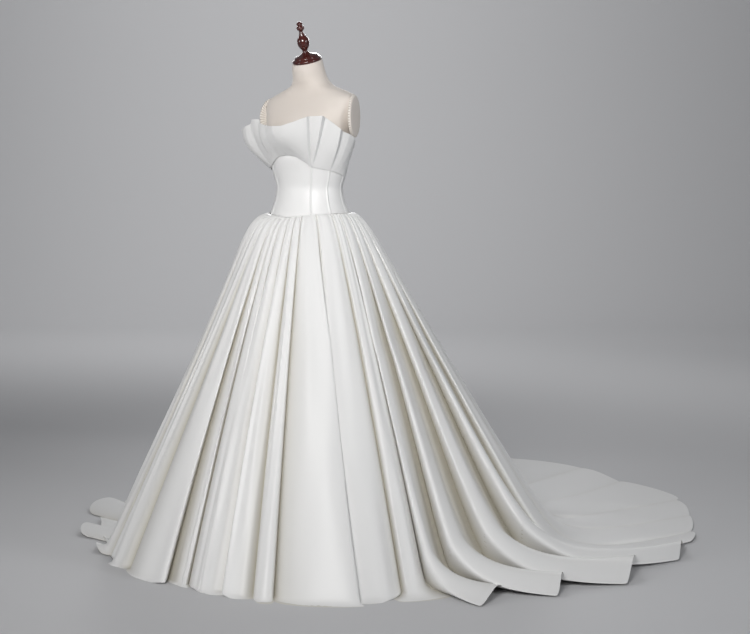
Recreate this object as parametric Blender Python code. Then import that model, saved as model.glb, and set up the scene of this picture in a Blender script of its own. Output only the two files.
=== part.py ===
"""A strapless satin wedding dress with a chapel train, standing on a limbless dress form.

Metres, +Z up, origin on the floor under the form's pole. The dress faces -Y, its train lies
towards +Y, and the wearer's left is +X. Angles are plan angles in degrees from +X.
"""

import math

import bpy
import numpy as np

# Cloth and clearances
CLOTH = 0.002
SEAM_GAP = 0.0003
FORM_GAP = 0.0016
FRONT = -90.0
BACK = 90.0

# Low waist where the skirt is gathered to the bodice
WAIST_HALF_WIDTH = 0.1400
WAIST_HALF_DEPTH = 0.1120
WAIST_HEIGHT_FRONT = 1.062
WAIST_HEIGHT_BACK = 1.075

# Skirt: a rounded shoulder below the waist, a straight cone, then cloth lying on the floor
CONE_TOP_HEIGHT = 1.14
SHOULDER_WIDTH = 0.035
WAIST_FOLD_DEPTH = 0.004
LYING_HEIGHT = 0.010
VALLEY_SHARPNESS = 0.75
VALLEY_PINCH = 0.6
TIP_BLUNTNESS = 0.5
SWEEP_DOWN = 0.6
SWEEP_OUT = 1.2
TIP_SKEW = 0.9
LEANING_SHARPNESS = 0.75
FOLD_GROWTH = 1.1
HEM_SETTLING = 6
SWING = (0.0386, -0.0270)
SWING_GROWTH = 1.5
PUFF = 0.020
PUFF_LENGTH = 0.08
PUFF_SIDE = -150.0
LEAST_LYING = 0.001
STEEPEST = 40.0
VALLEY_SLACK = 1e-9
SKIRT_ROWS = 12
SKIRT_ROW_CROWDING = 1.1
FLUTE_STEPS = (0.0, 0.16, 0.5, 0.84)

# Plan of the skirt by angle away from the front: cone radius on the floor line, and how
# softly the cone turns onto the floor
SKIRT_PLAN = (
    # away, cone, softness
    (0.0, 0.592, 0.004),
    (25.0, 0.624, 0.004),
    (50.0, 0.650, 0.008),
    (75.0, 0.632, 0.040),
    (92.0, 0.640, 0.085),
    (105.0, 0.670, 0.100),
    (122.0, 0.718, 0.100),
    (140.0, 0.768, 0.095),
    (160.0, 0.812, 0.090),
    (180.0, 0.832, 0.088),
)

# One row for each flute, from the valley where it starts to the next row's valley, going
# round by plan angle: the valley's angle at the waist, at the knee and at the hem, its reach
# at the hem, then the flute's depth on the cone, its height on the floor, how far its tip
# runs past the valleys and which way the tip leans, from -1 to 1
FLUTES = (
    # waist, knee, hem, reach, depth, height, tip, lean
    (-212.0, -212.0, -212.0, 1.240, 0.024, 0.012, 0.006, 0.0),
    (-201.0, -202.0, -203.0, 1.130, 0.024, 0.014, 0.015, 0.0),
    (-190.0, -190.0, -193.0, 1.030, 0.024, 0.018, 0.030, 0.0),
    (-180.0, -179.0, -185.0, 0.950, 0.026, 0.020, 0.135, 0.6),
    (-169.0, -168.0, -172.0, 0.860, 0.022, 0.018, 0.040, 0.0),
    (-158.0, -157.0, -163.0, 0.750, 0.024, 0.023, 0.120, 0.7),
    (-147.0, -146.0, -151.0, 0.690, 0.024, 0.018, 0.020, 0.0),
    (-138.0, -138.0, -144.0, 0.665, 0.024, 0.020, 0.048, 0.6),
    (-130.0, -130.0, -132.0, 0.650, 0.022, 0.010, 0.006, 0.0),
    (-122.0, -123.0, -124.0, 0.640, 0.026, 0.000, 0.002, 0.0),
    (-112.0, -114.0, -115.4, 0.628, 0.045, 0.000, 0.002, 0.0),
    (-104.0, -93.5, -96.9, 0.597, 0.022, 0.000, 0.000, 0.0),
    (-97.0, -88.0, -86.5, 0.598, 0.034, 0.000, 0.000, 0.0),
    (-89.0, -82.0, -79.6, 0.607, 0.036, 0.000, 0.000, 0.0),
    (-79.0, -74.5, -72.4, 0.616, 0.038, 0.000, 0.000, 0.0),
    (-70.0, -66.5, -65.6, 0.638, 0.038, 0.000, 0.000, 0.0),
    (-61.0, -60.0, -59.4, 0.658, 0.058, 0.000, 0.000, 0.0),
    (-42.0, -39.5, -38.9, 0.668, 0.036, 0.000, 0.000, 0.0),
    (-22.0, -28.0, -31.6, 0.668, 0.040, 0.000, 0.006, 0.0),
    (-12.0, -21.0, -18.6, 0.705, 0.050, 0.036, 0.155, -0.7),
    (0.0, -14.0, -3.6, 0.766, 0.060, 0.048, 0.165, -1.0),
    (10.0, -3.0, 9.6, 0.853, 0.065, 0.050, 0.185, -1.0),
    (20.0, 8.0, 27.8, 1.006, 0.060, 0.044, 0.138, -0.8),
    (30.0, 20.0, 39.0, 1.178, 0.040, 0.016, 0.030, -0.3),
    (41.0, 34.0, 47.5, 1.270, 0.032, 0.012, 0.006, 0.0),
    (52.0, 49.0, 57.0, 1.372, 0.030, 0.010, 0.004, 0.0),
    (64.0, 62.0, 67.0, 1.492, 0.028, 0.012, 0.030, 0.0),
    (77.0, 76.0, 81.0, 1.568, 0.028, 0.010, 0.010, 0.0),
    (90.0, 90.0, 90.5, 1.705, 0.030, 0.010, 0.004, 0.0),
    (103.0, 103.0, 102.0, 1.745, 0.032, 0.010, 0.004, 0.0),
    (115.0, 116.0, 114.0, 1.690, 0.034, 0.012, 0.004, 0.0),
    (126.0, 128.0, 126.0, 1.550, 0.030, 0.010, 0.004, 0.0),
    (137.0, 138.0, 137.0, 1.400, 0.026, 0.012, 0.004, 0.0),
)

ANGLE_COLUMNS = (0, 1, 2)
TABLE_OVERLAP = 2

# Skirt gores: name, first flute, flute after the last, counted round from the first row
GORES = (
    # name, first, after
    ("skirt_side_back_right", 0, 5),
    ("skirt_side_front_right", 5, 10),
    ("skirt_front", 10, 16),
    ("skirt_side_front_left", 16, 20),
    ("skirt_side_back_left", 20, 24),
    ("skirt_train_left", 24, 28),
    ("skirt_train_right", 28, 33),
)

# Torso of the form by height: half width, half depth, centre line towards the back, and how
# square the section is (2 is an ellipse)
TORSO = (
    # height, half_width, half_depth, back, square
    (0.800, 0.1560, 0.1180, 0.000, 2.0),
    (0.860, 0.1620, 0.1240, 0.000, 2.0),
    (0.940, 0.1560, 0.1200, 0.000, 2.0),
    (1.010, 0.1450, 0.1140, 0.000, 2.0),
    (1.062, 0.1373, 0.1093, 0.000, 2.0),
    (1.110, 0.1180, 0.0960, 0.000, 2.0),
    (1.152, 0.1103, 0.0883, 0.000, 2.0),
    (1.200, 0.1240, 0.0975, 0.000, 2.0),
    (1.250, 0.1330, 0.1090, -0.003, 2.1),
    (1.285, 0.1380, 0.1115, -0.003, 2.1),
    (1.330, 0.1500, 0.1050, 0.002, 2.2),
    (1.375, 0.1660, 0.0900, 0.011, 2.4),
    (1.410, 0.1760, 0.0760, 0.018, 2.6),
    (1.436, 0.1700, 0.0650, 0.020, 2.4),
    (1.456, 0.1300, 0.0590, 0.020, 2.1),
    (1.474, 0.0800, 0.0570, 0.016, 2.0),
    (1.492, 0.0600, 0.0560, 0.008, 2.0),
    (1.520, 0.0530, 0.0520, -0.003, 2.0),
)
TORSO_COLUMNS = 28
TORSO_STRETCHES = (
    # low, high, rings
    (0.800, 1.040, 3),
    (1.040, 1.290, 13),
    (1.290, 1.520, 9),
)
NECK_TOP_HEIGHT = 1.550
NECK_TOP_RADIUS = 0.0478
NECK_TOP_BACK = -0.010
NECK_TILT = 18.0

# Flat arm plates
PLATE_CENTRE = (0.163, 0.016, 1.376)
PLATE_TURN = 20.0
PLATE_HALF_WIDTH = 0.050
PLATE_HALF_HEIGHT = 0.066
PLATE_THICKNESS = 0.009
PLATE_COLUMNS = 24
PLATE_RINGS = (
    # share of the thickness, size
    (0.0, 1.00),
    (0.6, 1.00),
    (1.0, 0.93),
)

# Turned wooden cap in the neck: height above the neck and radius
CAP_PROFILE = (
    # height, radius
    (0.000, 0.0450),
    (0.006, 0.0462),
    (0.012, 0.0390),
    (0.020, 0.0300),
    (0.030, 0.0105),
    (0.036, 0.0085),
    (0.042, 0.0120),
    (0.050, 0.0165),
    (0.058, 0.0190),
    (0.070, 0.0185),
    (0.078, 0.0140),
    (0.088, 0.0085),
    (0.098, 0.0065),
    (0.104, 0.0115),
    (0.110, 0.0120),
    (0.116, 0.0080),
    (0.120, 0.0095),
    (0.126, 0.0060),
)
CAP_TOP = (0.128, 0.0020)
CAP_COLUMNS = 16

# Stand of the form
POLE_RADIUS = 0.016
POLE_COLUMNS = 16
BASE_PROFILE = (
    # height, radius
    (0.000, 0.1750),
    (0.010, 0.1750),
    (0.018, 0.1660),
    (0.022, 0.0400),
    (0.034, 0.0260),
)
BASE_COLUMNS = 28

# Bodice panels by angle away from the centre front on each side
BODICE_SEAMS = (36.0, 65.0, 100.0, 140.0)
BODICE_NAMES = ("bodice_side_front", "bodice_side", "bodice_side_back", "bodice_back")
BODICE_ROWS = 10
BODICE_STEP = 10.0
BODICE_TOP = (
    # away, height
    (0.0, 1.318),
    (35.0, 1.322),
    (65.0, 1.312),
    (95.0, 1.296),
    (130.0, 1.268),
    (180.0, 1.262),
)

# Folded fan over the bust, by angle away from the centre front: where each crease stands at
# its top and at its foot, the top's radius and height, and the foot's height
FAN_CREASES = (
    # top_away, foot_away, radius, height, foot, bow; angles below zero are the wearer's right
    (-103.0, -97.0, 0.156, 1.282, 1.190, 0.002),
    (-96.0, -86.0, 0.172, 1.290, 1.197, 0.004),
    (-88.0, -76.0, 0.188, 1.303, 1.203, 0.008),
    (-79.0, -69.0, 0.196, 1.312, 1.208, 0.010),
    (-71.0, -62.0, 0.200, 1.318, 1.210, 0.014),
    (-63.0, -55.0, 0.212, 1.326, 1.213, 0.020),
    (-54.0, -46.0, 0.2165, 1.3365, 1.218, 0.024),
    (-45.0, -41.0, 0.2035, 1.347, 1.220, 0.024),
    (-37.5, -38.0, 0.189, 1.354, 1.222, 0.020),
    (-34.0, -35.0, 0.1885, 1.3675, 1.224, 0.018),
    (-22.0, -24.0, 0.179, 1.3675, 1.236, 0.020),
    (-18.0, -20.0, 0.181, 1.3535, 1.242, 0.020),
    (-8.0, -10.0, 0.185, 1.3475, 1.252, 0.018),
    (3.7, 3.6, 0.200, 1.3435, 1.256, 0.016),
    (14.6, 16.0, 0.203, 1.344, 1.2505, 0.016),
    (26.6, 28.0, 0.208, 1.356, 1.2335, 0.014),
    (37.6, 33.6, 0.215, 1.370, 1.2215, 0.012),
    (40.0, 35.4, 0.201, 1.372, 1.221, 0.008),
    (50.6, 37.2, 0.217, 1.3735, 1.2195, 0.012),
    (54.2, 39.2, 0.200, 1.369, 1.218, 0.008),
    (60.5, 51.6, 0.206, 1.3525, 1.212, 0.010),
    (67.2, 64.0, 0.212, 1.3335, 1.208, 0.010),
    (71.4, 67.2, 0.197, 1.3275, 1.206, 0.006),
    (79.0, 73.6, 0.197, 1.3195, 1.2035, 0.008),
    (88.0, 80.9, 0.190, 1.309, 1.200, 0.006),
    (96.0, 88.5, 0.172, 1.292, 1.196, 0.004),
    (103.0, 98.0, 0.156, 1.282, 1.190, 0.002),
)
FAN_ROWS = 6
FAN_FRONT_LAST = 4
FAN_CLEARANCE = 0.0010

# Covered buttons down the centre back
BUTTON_COUNT = 9
BUTTON_RADIUS = 0.0055
BUTTON_LOWEST = 1.092
BUTTON_SPACING = 0.0185
BUTTON_COLUMNS = 8
BUTTON_SEAT = 0.0008
BUTTON_DOME = (
    # height, share of the radius
    (0.0000, 1.00),
    (0.0022, 1.00),
    (0.0040, 0.72),
    (0.0047, 0.30),
)

# Finishes: linear colour, roughness, metallic
SHARP_ANGLE = 50.0
SATIN = ("satin", (0.86, 0.86, 0.85, 1.0), 0.42, 0.0)
JERSEY = ("form jersey", (0.72, 0.64, 0.55, 1.0), 0.85, 0.0)
MAHOGANY = ("polished mahogany", (0.075, 0.008, 0.006, 1.0), 0.16, 0.0)
STEEL = ("painted steel", (0.03, 0.03, 0.032, 1.0), 0.4, 0.7)


def clear_scene():
    for old in list(bpy.data.objects):
        bpy.data.objects.remove(old, do_unlink=True)


def finish_material(finish):
    """A Principled material for one finish, made once."""
    name, colour, roughness, metallic = finish
    material = bpy.data.materials.get(name)
    if material is None:
        material = bpy.data.materials.new(name)
        material.use_nodes = True
        shader = material.node_tree.nodes["Principled BSDF"]
        shader.inputs["Base Color"].default_value = colour
        shader.inputs["Roughness"].default_value = roughness
        shader.inputs["Metallic"].default_value = metallic
    return material


def add_object(name, points, faces, finish):
    """One named mesh object from points and faces, shaded smooth except at sharp edges."""
    mesh = bpy.data.meshes.new(name)
    mesh.from_pydata([tuple(point) for point in points], [], faces)
    mesh.validate()
    mesh.shade_smooth()
    mesh.set_sharp_from_angle(angle=math.radians(SHARP_ANGLE))
    mesh.materials.append(finish_material(finish))
    piece = bpy.data.objects.new(name, mesh)
    bpy.context.scene.collection.objects.link(piece)
    return piece


def column(table, index):
    return np.array([row[index] for row in table], float)


def smooth_table(x, xs, ys):
    """Cubic through the rows of a table, with slopes from each row's neighbours."""
    slopes = np.gradient(ys, xs)
    cell = np.clip(np.searchsorted(xs, x, side="right") - 1, 0, len(xs) - 2)
    width = xs[cell + 1] - xs[cell]
    s = np.clip((x - xs[cell]) / width, 0.0, 1.0)
    start = (1 + 2 * s) * (1 - s) ** 2 * ys[cell] + s * (1 - s) ** 2 * width * slopes[cell]
    end = s * s * (3 - 2 * s) * ys[cell + 1] + s * s * (s - 1) * width * slopes[cell + 1]
    return start + end


def away_from_front(angle):
    """Unsigned angle from the centre front, 0 to 180."""
    return np.abs((np.asarray(angle) - FRONT + 180.0) % 360.0 - 180.0)


def ellipse_radius(angle, half_width, half_depth):
    turn = np.radians(angle)
    across = np.cos(turn) / half_width
    along = np.sin(turn) / half_depth
    return 1.0 / np.sqrt(across**2 + along**2)


def waist_height(angle):
    """The seam dips at the centre front and is level from the sides to the back."""
    rise = WAIST_HEIGHT_BACK - WAIST_HEIGHT_FRONT
    return WAIST_HEIGHT_FRONT + rise * np.sin(np.radians(np.minimum(away_from_front(angle), 90.0)))


def plan_value(away, index):
    """A SKIRT_PLAN column, level where it crosses the centre front and the centre back."""
    angles, values = column(SKIRT_PLAN, 0), column(SKIRT_PLAN, index)
    angles = np.concatenate([[-angles[1]], angles, [360.0 - angles[-2]]])
    return smooth_table(away, angles, np.concatenate([[values[1]], values, [values[-2]]]))


def flute_table(index, place):
    """A FLUTES column at flute positions, joined round the whole skirt."""
    values = column(FLUTES, index)
    turn = 360.0 if index in ANGLE_COLUMNS else 0.0
    beyond = TABLE_OVERLAP
    around = np.concatenate([values[-beyond:] - turn, values, values[:beyond] + turn])
    return smooth_table(place, np.arange(-float(beyond), len(values) + beyond), around)


def flute_value(index, flute):
    return column(FLUTES, index)[flute.astype(int) % len(FLUTES)]


def skirt_surface(place, length):
    """Outer face of the skirt at flute positions and lengths down it, as arrays of one shape.

    The radius runs from the waist to the cone's foot and on to the hem, the height is a
    straight cone turned softly onto the floor, and each flute stands off that surface as a
    rounded ridge, outwards on the cone and upwards on the floor. The gathers puff out a
    little just under the waist seam, most of all on the wearer's right, and the lower the
    cloth hangs the further the whole skirt swings towards the wearer's left front.
    """
    flute = np.floor(place + VALLEY_SLACK)
    across = np.clip(place - flute, 0.0, 1.0)
    pinched = flute + across - VALLEY_PINCH * np.sin(2 * np.pi * across) / (2 * np.pi)
    ridge = np.abs(np.sin(np.pi * across)) ** VALLEY_SHARPNESS

    hem = flute_table(2, pinched)
    away = away_from_front(hem)
    cone, softness = plan_value(away, 1), plan_value(away, 2)
    lean = flute_value(7, flute)
    skew = TIP_SKEW * lean * across * (1 - across)
    near = np.abs(np.sin(np.pi * (across - skew))) ** VALLEY_SHARPNESS
    sharpness = VALLEY_SHARPNESS + LEANING_SHARPNESS * np.abs(lean)
    arch = np.abs(np.sin(np.pi * (across + skew))) ** sharpness
    reach = flute_table(3, pinched) + near**TIP_BLUNTNESS * flute_value(6, flute)
    flute_depth, flute_height = flute_value(4, flute), flute_value(5, flute)

    start = ellipse_radius(flute_table(0, pinched), WAIST_HALF_WIDTH, WAIST_HALF_DEPTH)
    fall = CONE_TOP_HEIGHT / (cone - start)
    on_cone = (cone - start) * np.sqrt(1 + fall**2)
    knee = on_cone / (on_cone + np.maximum(reach - cone, LEAST_LYING))
    down = np.minimum(length / knee, 1.0)
    out = np.clip((length - knee) / (1 - knee), 0.0, 1.0)
    radius = start + (cone - start) * down + (reach - cone) * out

    waist = flute_table(0, pinched)
    mid = flute_table(1, pinched)
    angle = waist + (mid - waist) * down**SWEEP_DOWN + (hem - mid) * out**SWEEP_OUT

    line = fall * (cone - radius)
    soft = softness * np.logaddexp(0.0, line / softness)
    at_hem = softness * np.logaddexp(0.0, fall * (cone - reach) / softness)
    shoulder = CONE_TOP_HEIGHT - (waist_height(angle) - SEAM_GAP)
    height = soft - at_hem * length**HEM_SETTLING - shoulder * np.exp(-(radius - start) / SHOULDER_WIDTH)

    lying = 1.0 / (1.0 + np.exp(np.clip(line / softness, -STEEPEST, STEEPEST)))
    lying = lying * np.clip(flute_height / LYING_HEIGHT, 0.0, 1.0)
    grown = np.clip(length / knee, 0.0, 1.0) ** FOLD_GROWTH
    depth = WAIST_FOLD_DEPTH + (flute_depth - WAIST_FOLD_DEPTH) * grown
    fullness = length / PUFF_LENGTH * np.exp(1.0 - length / PUFF_LENGTH)
    puff = PUFF * fullness * np.clip(np.cos(np.radians(angle - PUFF_SIDE)), 0.0, 1.0) ** 2
    radius = radius + ridge * depth * (1 - lying) + puff
    height = height + (arch * flute_height + CLOTH) * lying
    turn = np.radians(angle)
    points = np.stack([radius * np.cos(turn), radius * np.sin(turn), height], axis=-1)
    dropped = np.clip(1.0 - height / (waist_height(angle) - SEAM_GAP), 0.0, 1.0)
    points[..., :2] += np.array(SWING) * dropped[..., None] ** SWING_GROWTH
    return points


def grid_normals(points, closed=False):
    """Unit normals of a grid whose rows run down and columns run round to the left."""
    if closed:
        padded = np.concatenate([points[:, -1:], points, points[:, :1]], axis=1)
        across = padded[:, 2:] - padded[:, :-2]
    else:
        across = np.gradient(points, axis=1)
    down = np.gradient(points, axis=0)
    normal = np.cross(down, across)
    return normal / np.maximum(np.linalg.norm(normal, axis=-1, keepdims=True), 1e-12)


def wall_faces(rows, columns):
    """Faces of a cloth wall: the outer grid, the inner grid turned over, and the four rims.

    The side rims are split along the same diagonal on every panel, from the outer face down to
    the inner face, so that two panels match where the cloth twists along their seam.
    """
    index = np.arange(rows * columns).reshape(rows, columns)
    inside = index + rows * columns
    faces = []
    for grid, turned in ((index, False), (inside, True)):
        a, b = grid[:-1, :-1].ravel(), grid[:-1, 1:].ravel()
        c, d = grid[1:, 1:].ravel(), grid[1:, :-1].ravel()
        faces += zip(a, b, c, d) if turned else zip(a, d, c, b)
    top, bottom = index[0], index[-1]
    faces += zip(top[:-1], top[1:], inside[0, 1:], inside[0, :-1])
    faces += zip(bottom[1:], bottom[:-1], inside[-1, :-1], inside[-1, 1:])
    for edge, left in ((0, True), (-1, False)):
        high, low = index[:-1, edge], index[1:, edge]
        high_in, low_in = inside[:-1, edge], inside[1:, edge]
        faces += zip(low, high, low_in) if left else zip(high, low, low_in)
        faces += zip(high, high_in, low_in) if left else zip(high, low_in, high_in)
    return [[int(p) for p in face] for face in faces]


def add_wall(name, outer, normals, finish=SATIN, floor=None):
    """A closed cloth wall between an outer grid and the same grid moved in by the cloth."""
    inner = outer - CLOTH * normals
    if floor is not None:
        outer, inner = outer.copy(), inner.copy()
        outer[..., 2] = np.maximum(outer[..., 2], floor)
        inner[..., 2] = np.maximum(inner[..., 2], floor)
    rows, columns = outer.shape[:2]
    points = np.concatenate([outer.reshape(-1, 3), inner.reshape(-1, 3)])
    return add_object(name, points, wall_faces(rows, columns), finish)


def part_at_seams(outer, gap=SEAM_GAP / 2):
    """Moves a panel's first and last columns in from the seam, square to the seam's run."""
    outer = outer.copy()
    down = np.gradient(outer, axis=0)
    down /= np.linalg.norm(down, axis=-1, keepdims=True)
    for edge, beside in ((0, 1), (-1, -2)):
        across = outer[:, beside] - outer[:, edge]
        across -= np.sum(across * down[:, edge], axis=-1, keepdims=True) * down[:, edge]
        outer[:, edge] += gap * across / np.linalg.norm(across, axis=-1, keepdims=True)
    return outer


def build_skirt():
    count = len(FLUTES)
    place = np.concatenate([flute + np.array(FLUTE_STEPS) for flute in range(count)])
    length = np.linspace(0.0, 1.0, SKIRT_ROWS + 1) ** SKIRT_ROW_CROWDING
    grid = skirt_surface(*np.meshgrid(place, length))
    normals = grid_normals(grid, closed=True)
    standing = grid[-1, :, 2] < CLOTH / 2
    normals[-1, standing, 2] = 0.0
    normals[-1] /= np.linalg.norm(normals[-1], axis=-1, keepdims=True)
    steps = len(FLUTE_STEPS)
    for name, first, after in GORES:
        take = np.arange(first * steps, after * steps + 1) % (count * steps)
        add_wall(name, part_at_seams(grid[:, take]), normals[:, take], floor=0.0)


def torso_section(height):
    """Half width, half depth, centre and squareness of the form at each height."""
    return [smooth_table(height, column(TORSO, 0), column(TORSO, i)) for i in (1, 2, 3, 4)]


def torso_point(angle, height, clearance=0.0):
    """Points round the torso at plan angles, moved out by a clearance."""
    half_width, half_depth, back, square = torso_section(height)
    turn = np.radians(angle)
    cos, sin = np.cos(turn), np.sin(turn)
    across = (half_width + clearance) * np.sign(cos) * np.abs(cos) ** (2 / square)
    along = (half_depth + clearance) * np.sign(sin) * np.abs(sin) ** (2 / square)
    return np.stack([across, along + back, height + 0 * turn], axis=-1)


def plate_frame(side):
    """Centre, outward normal, and the two directions in the plane of an arm plate."""
    turn = math.radians(PLATE_TURN)
    centre = np.array(PLATE_CENTRE) * (side, 1, 1)
    normal = np.array([side * math.cos(turn), math.sin(turn), 0.0])
    level = np.array([-side * math.sin(turn), math.cos(turn), 0.0])
    return centre, normal, level, np.array([0.0, 0.0, 1.0])


def lathe_faces(rings, columns):
    """Faces of a solid of stacked rings, bottom ring first, closed by two flat ends."""
    faces = [list(range(columns))[::-1]]
    for ring in range(rings - 1):
        low, high = ring * columns, (ring + 1) * columns
        for i in range(columns):
            j = (i + 1) % columns
            faces.append([low + i, low + j, high + j, high + i])
    faces.append([(rings - 1) * columns + i for i in range(columns)])
    return faces


def build_torso():
    around = np.arange(TORSO_COLUMNS) * 360.0 / TORSO_COLUMNS
    heights = [np.linspace(low, high, count, endpoint=False) for low, high, count in TORSO_STRETCHES]
    heights = np.append(np.concatenate(heights), TORSO_STRETCHES[-1][1])
    rings = [torso_point(around, height) for height in heights]
    for side in (1, -1):
        centre, normal, _, _ = plate_frame(side)
        for ring in rings:
            beyond = (ring - centre) @ normal
            ring[:, 0] -= np.maximum(beyond, 0.0) / normal[0]
    turn = np.radians(around)
    tilt = math.radians(NECK_TILT)
    top = np.stack(
        [
            NECK_TOP_RADIUS * np.cos(turn),
            NECK_TOP_BACK + NECK_TOP_RADIUS * np.sin(turn) * math.cos(tilt),
            NECK_TOP_HEIGHT + NECK_TOP_RADIUS * np.sin(turn) * math.sin(tilt),
        ],
        axis=-1,
    )
    rings.append(top)
    points = np.concatenate(rings)
    add_object("form_torso", points, lathe_faces(len(rings), TORSO_COLUMNS), JERSEY)


def build_arm_plates():
    turn = np.arange(PLATE_COLUMNS) * 2 * np.pi / PLATE_COLUMNS
    for side, name in ((1, "form_arm_plate_left"), (-1, "form_arm_plate_right")):
        centre, normal, level, up = plate_frame(side)
        outline = np.cos(turn)[:, None] * level * side
        upright = np.sin(turn)[:, None] * up
        rings = []
        for out, size in PLATE_RINGS:
            edge = outline * PLATE_HALF_WIDTH * size + upright * PLATE_HALF_HEIGHT * size
            rings.append(centre + edge + normal * (SEAM_GAP + out * PLATE_THICKNESS))
        add_object(name, np.concatenate(rings), lathe_faces(len(PLATE_RINGS), PLATE_COLUMNS), JERSEY)


def turned_rings(profile, columns):
    turn = np.arange(columns) * 2 * np.pi / columns
    return np.concatenate(
        [
            np.stack([r * np.cos(turn), r * np.sin(turn), h + 0 * turn], axis=-1)
            for h, r in profile
        ]
    )


def build_neck_cap():
    profile = CAP_PROFILE + (CAP_TOP,)
    points = turned_rings(profile, CAP_COLUMNS)
    points[:, 2] += SEAM_GAP
    tilt = math.radians(NECK_TILT)
    cos, sin = math.cos(tilt), math.sin(tilt)
    y, z = points[:, 1].copy(), points[:, 2].copy()
    points[:, 1] = NECK_TOP_BACK + y * cos - z * sin
    points[:, 2] = NECK_TOP_HEIGHT + y * sin + z * cos
    add_object("form_neck_cap", points, lathe_faces(len(profile), CAP_COLUMNS), MAHOGANY)


def build_stand():
    base = turned_rings(BASE_PROFILE, BASE_COLUMNS)
    add_object("form_base", base, lathe_faces(len(BASE_PROFILE), BASE_COLUMNS), STEEL)
    low = BASE_PROFILE[-1][0] + SEAM_GAP
    high = TORSO[0][0] - SEAM_GAP
    pole = turned_rings(((low, POLE_RADIUS), (high, POLE_RADIUS)), POLE_COLUMNS)
    add_object("form_pole", pole, lathe_faces(2, POLE_COLUMNS), STEEL)


def bodice_columns():
    """Angles away from the centre front round the whole bodice, and each seam's column."""
    edges = (0.0,) + BODICE_SEAMS + (180.0,)
    away, seams = [0.0], [0]
    for first, last in zip(edges, edges[1:]):
        count = round((last - first) / BODICE_STEP)
        away += list(np.linspace(first, last, count + 1)[1:])
        seams.append(len(away) - 1)
    return np.array(away), seams


def build_bodice():
    away, seams = bodice_columns()
    around = np.concatenate([-away[:0:-1], away[:-1]])
    angle = FRONT + around
    low = waist_height(angle) + SEAM_GAP
    high = smooth_table(np.abs(around), column(BODICE_TOP, 0), column(BODICE_TOP, 1))
    share = np.linspace(1.0, 0.0, BODICE_ROWS + 1)[:, None]
    height = low + (high - low) * share
    grid = torso_point(angle + 0 * height, height, FORM_GAP + CLOTH)
    normals = grid_normals(grid, closed=True)
    middle = len(away) - 1
    panels = [("bodice_front", middle - seams[1], middle + seams[1])]
    for name, first, last in zip(BODICE_NAMES, seams[1:], seams[2:]):
        panels.append((name + "_left", middle + first, middle + last))
        panels.append((name + "_right", middle - last, middle - first))
    for name, first, last in panels:
        take = np.arange(first, last + 1) % len(around)
        add_wall(name, part_at_seams(grid[:, take]), normals[:, take])


def fan_grid():
    """Outer face of the fan: each crease runs from its foot on the bodice to its free top."""
    top_away, foot_away, radius, high, foot_height, bow = np.array(FAN_CREASES).T
    rise = np.linspace(1.0, 0.0, FAN_ROWS + 1)[:, None]
    clear = FORM_GAP + 2 * CLOTH + FAN_CLEARANCE
    foot = torso_point(FRONT + foot_away, foot_height, clear)
    turn = np.radians(FRONT + top_away)
    top = np.stack([radius * np.cos(turn), radius * np.sin(turn), high], axis=-1)
    grid = foot + (top - foot) * rise[..., None]
    outward = np.stack([np.cos(turn), np.sin(turn), 0 * turn], axis=-1)
    return grid + outward * (bow * np.sin(np.pi * rise))[..., None]


def build_fan():
    grid = fan_grid()
    normals = grid_normals(grid)
    middle, last = len(FAN_CREASES) // 2, FAN_FRONT_LAST
    parts = (
        ("bust_fold_right", 0, middle - last),
        ("bust_fold_front", middle - last, middle + last),
        ("bust_fold_left", middle + last, 2 * middle),
    )
    for name, first, after in parts:
        take = slice(first, after + 1)
        add_wall(name, part_at_seams(grid[:, take]), normals[:, take])


def build_buttons():
    profile = [(height, BUTTON_RADIUS * size) for height, size in BUTTON_DOME]
    points = turned_rings(profile, BUTTON_COLUMNS)
    for i in range(BUTTON_COUNT):
        height = BUTTON_LOWEST + i * BUTTON_SPACING
        levels = np.array([height - BUTTON_RADIUS, height, height + BUTTON_RADIUS])
        outer = torso_point(BACK + 0 * levels, levels, FORM_GAP + CLOTH)
        seat = np.max(outer[:, 1]) + BUTTON_SEAT
        placed = np.stack([points[:, 0], seat + points[:, 2], height - points[:, 1]], axis=-1)
        name = f"back_button_{i + 1}"
        add_object(name, placed, lathe_faces(len(profile), BUTTON_COLUMNS), SATIN)


def main():
    clear_scene()
    build_stand()
    build_torso()
    build_arm_plates()
    build_neck_cap()
    build_bodice()
    build_fan()
    build_skirt()
    build_buttons()


main()
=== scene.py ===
"""Looks for a strapless satin wedding gown with a chapel train on a limbless dress form.

Metres, +Z up, origin on the floor under the form. The gown faces -Y, the train lies towards +Y
and the wearer's left is +X. Plan angles are in degrees from +X, so the centre front is -90.
"""

import math

import bmesh
import bpy
import numpy as np
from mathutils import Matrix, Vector


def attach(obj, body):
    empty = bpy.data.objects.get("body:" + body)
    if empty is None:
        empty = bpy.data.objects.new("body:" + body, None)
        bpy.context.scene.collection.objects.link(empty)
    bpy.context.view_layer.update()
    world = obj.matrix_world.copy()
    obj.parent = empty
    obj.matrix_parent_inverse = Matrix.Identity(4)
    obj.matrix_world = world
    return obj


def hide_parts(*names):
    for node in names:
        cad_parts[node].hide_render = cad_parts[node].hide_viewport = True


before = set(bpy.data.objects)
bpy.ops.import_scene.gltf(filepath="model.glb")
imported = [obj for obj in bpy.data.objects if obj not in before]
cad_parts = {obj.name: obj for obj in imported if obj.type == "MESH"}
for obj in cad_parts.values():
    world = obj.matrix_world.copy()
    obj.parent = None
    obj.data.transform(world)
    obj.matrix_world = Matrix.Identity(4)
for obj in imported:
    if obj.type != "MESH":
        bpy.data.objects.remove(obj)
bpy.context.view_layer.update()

# Studio: a pale floor that curves up far behind the gown, seen by a camera at chest height
# from the wearer's front left. A gridded softbox lights the front, so the light falls off
# towards the hem. Weaker ones fill both sides and the back, and a strip rims the shoulders.
CAMERA_PLACE = (3.2708, -3.8791, 1.2052)
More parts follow.
